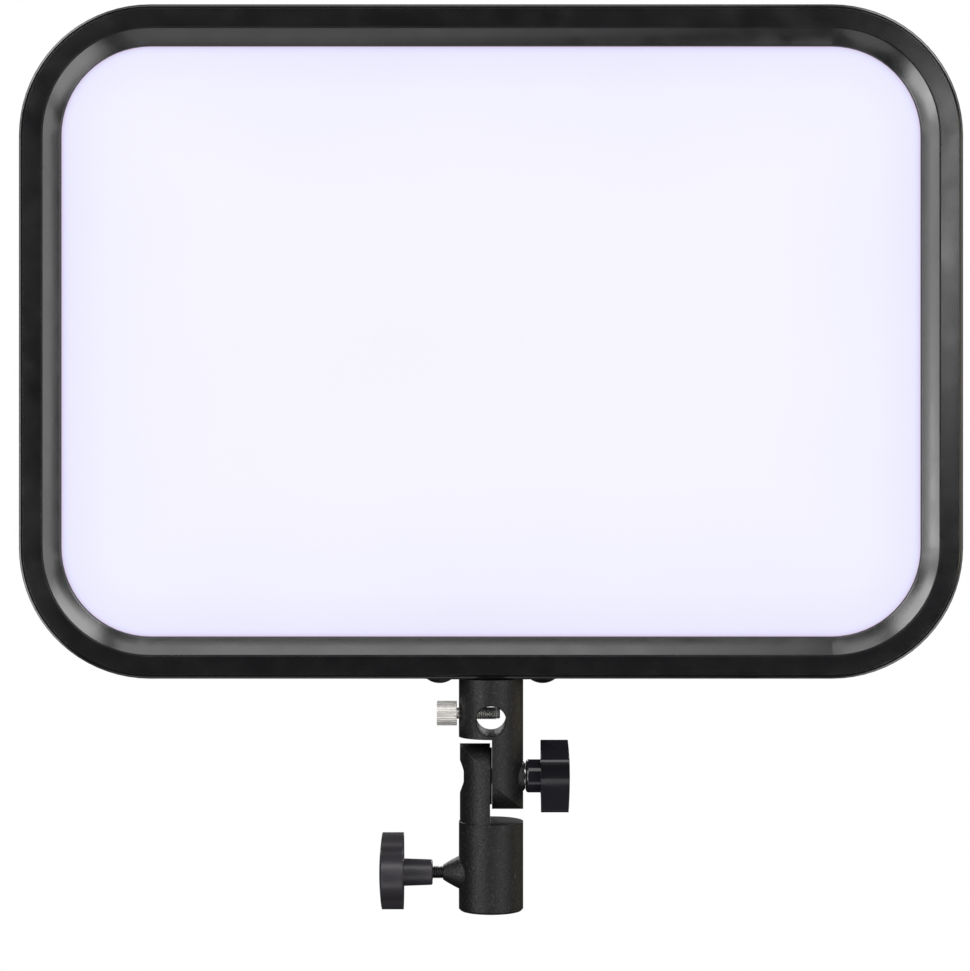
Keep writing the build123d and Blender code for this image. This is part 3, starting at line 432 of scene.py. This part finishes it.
def finishes():
    """Materials by name, for each slot of the record, the marks' paint and the figures' glow."""
    made = (
        bezel_finish("bezel_black"),
        moulded("cover_black", (0.026, 0.026, 0.028), 0.48, grain=0.0006, depth=0.00003),
        moulded("housing_black", (0.032, 0.032, 0.034), 0.45, grain=0.0006, depth=0.00003),
        powder_coat("bracket_black", (0.005, 0.0048, 0.005), 0.46),
        opal_lit("diffuser_lit"),
        moulded("seal_black", (0.012, 0.011, 0.014), 0.8, grain=0.0003, depth=0.00005),
        moulded("film_white", (0.8, 0.8, 0.8), 0.6, dust=0.0),
        clear("guide_clear", (0.85, 0.88, 0.9), 0.05, 0.9),
        metal("spreader_aluminium", (0.72, 0.72, 0.74), 0.35, stretch=(12, 1, 1)),
        metal("spacer_aluminium", (0.75, 0.75, 0.77), 0.3),
        moulded("board_white", (0.8, 0.8, 0.8), 0.35, dust=0.0),
        moulded("board_green", (0.02, 0.14, 0.06), 0.3, grain=0.002, depth=0.00002, dust=0.0),
        moulded("led_warm", (0.9, 0.62, 0.22), 0.35, dust=0.0),
        moulded("led_cool", (0.9, 0.85, 0.45), 0.35, dust=0.0),
        moulded("component_dark", (0.05, 0.05, 0.055), 0.4),
        metal("screw_black", (0.06, 0.06, 0.065), 0.38),
        metal("steel_zinc", (0.7, 0.71, 0.72), 0.22),
        metal("nickel", (0.88, 0.86, 0.82), 0.42, stretch=(10, 1, 1), metallic=0.75),
        metal("brass", (0.72, 0.55, 0.26), 0.28),
        moulded("washer_nylon", (0.03, 0.03, 0.03), 0.5),
        moulded(
            "knob_gloss", (0.010, 0.010, 0.013), 0.13,
            grain=0.003, depth=0.00002, dust=0.01, ior=1.6,
        ),
        moulded("knob_satin", (0.034, 0.031, 0.036), 0.34, grain=0.0008, depth=0.00002, ior=1.6),
        moulded("control_knob_black", (0.028, 0.028, 0.03), 0.5),
        clear("window_smoked", (0.45, 0.47, 0.5), 0.06, 0.92),
        moulded("display_dark", (0.01, 0.014, 0.02), 0.15, grain=0.004, depth=0.0, dust=0.0),
        moulded("switch_black", (0.018, 0.018, 0.019), 0.3),
        moulded("key_grey", (0.11, 0.11, 0.115), 0.45),
        moulded("release_grey", (0.14, 0.14, 0.145), 0.45),
        moulded("print_white", (0.55, 0.55, 0.54), 0.55, dust=0.0),
        glowing("display_glow", (0.55, 0.85, 1.0), 1.6),
    )
    return {finish.name: finish.material for finish in made}


def dress_nodes(materials):
    """Give each CAD node the material of its slot."""
    for obj in frame["nodes"].values():
        slot = obj.data.materials[0].name.split(".")[0]
        obj.data.materials.clear()
        obj.data.materials.append(materials[slot])


# ---------------------------------------------------------------- printed marks, display figures
MARK_HEIGHT = 0.00004
MARK_SINK = 0.00003


def rear_face(face_y):
    """Places (x, z, outwards) on a face that looks to the rear at depth face_y."""
    return lambda x, z, outwards: (x, face_y + outwards, z)


def side_face(middle, lean):
    """Places (back, above, outwards) on a face to the right that leans back by lean degrees."""
    angle = math.radians(lean)
    up = Vector((-math.sin(angle), 0, math.cos(angle)))
    out = Vector((math.cos(angle), 0, math.sin(angle)))
    rear = Vector((0, 1, 0))
    return lambda back, above, outwards: middle + rear * back + up * above + out * outwards


def thin_marks(name, outlines, face, body, material):
    """Thin marks on a face; an outline is a list of two-number places on it."""
    shape = bmesh.new()
    for outline in outlines:
        under = [shape.verts.new(face(*place, -MARK_SINK)) for place in outline]
        over = [shape.verts.new(face(*place, MARK_HEIGHT)) for place in outline]
        shape.faces.new(under)
        shape.faces.new(over)
        for here in range(len(outline)):
            after = (here + 1) % len(outline)
            shape.faces.new((under[here], under[after], over[after], over[here]))
    bmesh.ops.recalc_face_normals(shape, faces=shape.faces)
    mesh = bpy.data.meshes.new(name)
    shape.to_mesh(mesh)
    shape.free()
    mesh.materials.append(material)
    piece = bpy.data.objects.new(name, mesh)
    bpy.context.scene.collection.objects.link(piece)
    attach(piece, body)


def bar(start, end, width, point=0.0):
    """Outline of a straight bar between two places, with ends drawn out to a point if asked."""
    start, end = Vector(start), Vector(end)
    along = (end - start).normalized()
    aside = Vector((-along.y, along.x)) * (width / 2)
    outline = [start + aside, end + aside]
    if point:
        outline.append(end + along * point)
    outline += [end - aside, start - aside]
    if point:
        outline.append(start - along * point)
    return [tuple(place) for place in outline]


def round_about(centre, radius, angles):
    """Places round a centre at the given angles."""
    x, z = centre
    return [(x + radius * math.cos(angle), z + radius * math.sin(angle)) for angle in angles]


def disc(centre, radius, sides=24):
    """Outline of a round mark."""
    return round_about(centre, radius, [2 * math.pi * side / sides for side in range(sides)])


def ring(centre, radius, width, sides=28):
    """Outline of a ring, cut through by a hair-thin slit so that it is one closed line."""
    slit = 0.01
    steps = [slit + (2 * math.pi - 2 * slit) * side / sides for side in range(sides + 1)]
    outer = round_about(centre, radius, steps)
    inner = round_about(centre, radius - width, reversed(steps))
    return outer + inner


def figure(lit, x, z, width, height):
    """Outlines of a seven-segment figure centred on (x, z), read from behind."""
    left, right, top, foot = x + width / 2, x - width / 2, z + height / 2, z - height / 2
    segments = {
        "a": ((left, top), (right, top)),
        "b": ((right, top), (right, z)),
        "c": ((right, z), (right, foot)),
        "d": ((left, foot), (right, foot)),
        "e": ((left, z), (left, foot)),
        "f": ((left, top), (left, z)),
        "g": ((left, z), (right, z)),
    }
    stroke = 0.14 * height
    gap = 0.62 * stroke
    point = 0.45 * stroke
    outlines = []
    for name in lit:
        start, end = (Vector(place) for place in segments[name])
        inset = (end - start).normalized() * gap
        outlines.append(bar(start + inset, end - inset, stroke, point))
    return outlines


def figures(text, right_x, z, height):
    """Outlines of a number whose last figure ends at right_x, read from behind."""
    lit = {"0": "abcdef", "1": "bc", "5": "acdfg", "6": "acdefg"}
    width = 0.52 * height
    pitch = 0.84 * height
    outlines = []
    for place, character in enumerate(reversed(text)):
        outlines += figure(lit[character], right_x + width / 2 + place * pitch, z, width, height)
    return outlines


def display_figures(material):
    """Colour temperature over brightness on the display, with a gauge beside each."""
    low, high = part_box("display_module")
    margin = 0.003
    height = 0.0066
    row_gap = 0.0027
    gauge_pitch = 0.0022
    half_cell, cell_width = 0.0016, 0.0014
    shortest, step, level_width = 0.0012, 0.001, 0.0013
    middle = (low.z + high.z) / 2
    upper = middle + (height + row_gap) / 2
    lower = middle - (height + row_gap) / 2
    outlines = figures("5600", low.x + margin, upper, height)
    outlines += figures("100", low.x + margin, lower, height)
    for cell in range(4):
        x = high.x - margin - cell * gauge_pitch
        outlines.append(bar((x, upper - half_cell), (x, upper + half_cell), cell_width))
    for level in range(6):
        x = high.x - margin - level * gauge_pitch
        foot = lower - height / 2
        outlines.append(bar((x, foot), (x, foot + shortest + level * step), level_width))
    thin_marks("display_figures", outlines, rear_face(high.y), "panel", material)


def dial_marks(material):
    """Ticks round each control knob over its turning range, and a painted line on its pointer."""
    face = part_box("control_housing")[1].y
    sweep = 150.0
    ticks = 11
    ring_gap = 0.0018
    long_tick, short_tick, tick_width = 0.0022, 0.0014, 0.0005
    line_start, line_end, line_width = 0.0032, 0.0069, 0.0006
    for name, body in (("brightness", "brightness_control"), ("colour", "colour_control")):
        low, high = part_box(name + "_knob")
        centre = (low + high) / 2
        inner = (high.x - low.x) / 2 + ring_gap
        outlines = []
        for tick in range(ticks):
            angle = math.radians(-sweep + 2 * sweep * tick / (ticks - 1))
            reach = long_tick if tick in (0, ticks // 2, ticks - 1) else short_tick
            ray = Vector((math.sin(angle), math.cos(angle)))
            start = Vector((centre.x, centre.z)) + ray * inner
            outlines.append(bar(start, start + ray * reach, tick_width))
        thin_marks(name + "_ticks", outlines, rear_face(face), "panel", material)
        x, z = centre.x, centre.z
        pointer = bar((x, z + line_start), (x, z + line_end), line_width)
        thin_marks(name + "_pointer_line", [pointer], rear_face(high.y), body, material)


def key_marks(material):
    """A dot on the mode key and two bars on the channel key."""
    dot_radius = 0.0011
    half_bar, bar_width, half_gap = 0.0016, 0.0006, 0.0007
    for name, body in (("mode_button", "mode_key"), ("channel_button", "channel_key")):
        low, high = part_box(name)
        x, z = (low.x + high.x) / 2, (low.z + high.z) / 2
        if name == "mode_button":
            outlines = [disc((x, z), dot_radius)]
        else:
            left, right = x - half_bar, x + half_bar
            levels = (z - half_gap, z + half_gap)
            outlines = [bar((left, level), (right, level), bar_width) for level in levels]
        thin_marks(name + "_mark", outlines, rear_face(high.y), body, material)


def rocker_marks(material):
    """The generic signs for on, a bar, and off, a ring, on the two faces of the power rocker."""
    rock = next(joint for joint in frame["joints"] if joint["name"] == "power_rock")
    pivot = Vector(rock["pos_m"])
    half_length, stroke = 0.0012, 0.0005
    ring_radius, ring_width = 0.0013, 0.0004
    on_sign = bar((0, -half_length), (0, half_length), stroke)
    off_sign = ring((0, 0), ring_radius, ring_width)
    signs = (
        # name, outline, middle of the face from the pivot, degrees that the face leans back
        ("rocker_on_mark", on_sign, (0.00218, 0, 0.00349), -3.7),
        ("rocker_off_mark", off_sign, (0.00316, 0, -0.00264), 21.7),
    )
    for name, outline, middle, lean in signs:
        face = side_face(pivot + Vector(middle), lean)
        thin_marks(name, [outline], face, "power_switch", material)


bpy.context.scene.view_settings.view_transform = "Standard"
add_camera()
add_world()
add_floor()
add_lights()
slot_materials = finishes()
dress_nodes(slot_materials)
display_figures(slot_materials["display_glow"])
dial_marks(slot_materials["print_white"])
key_marks(slot_materials["print_white"])
rocker_marks(slot_materials["print_white"])
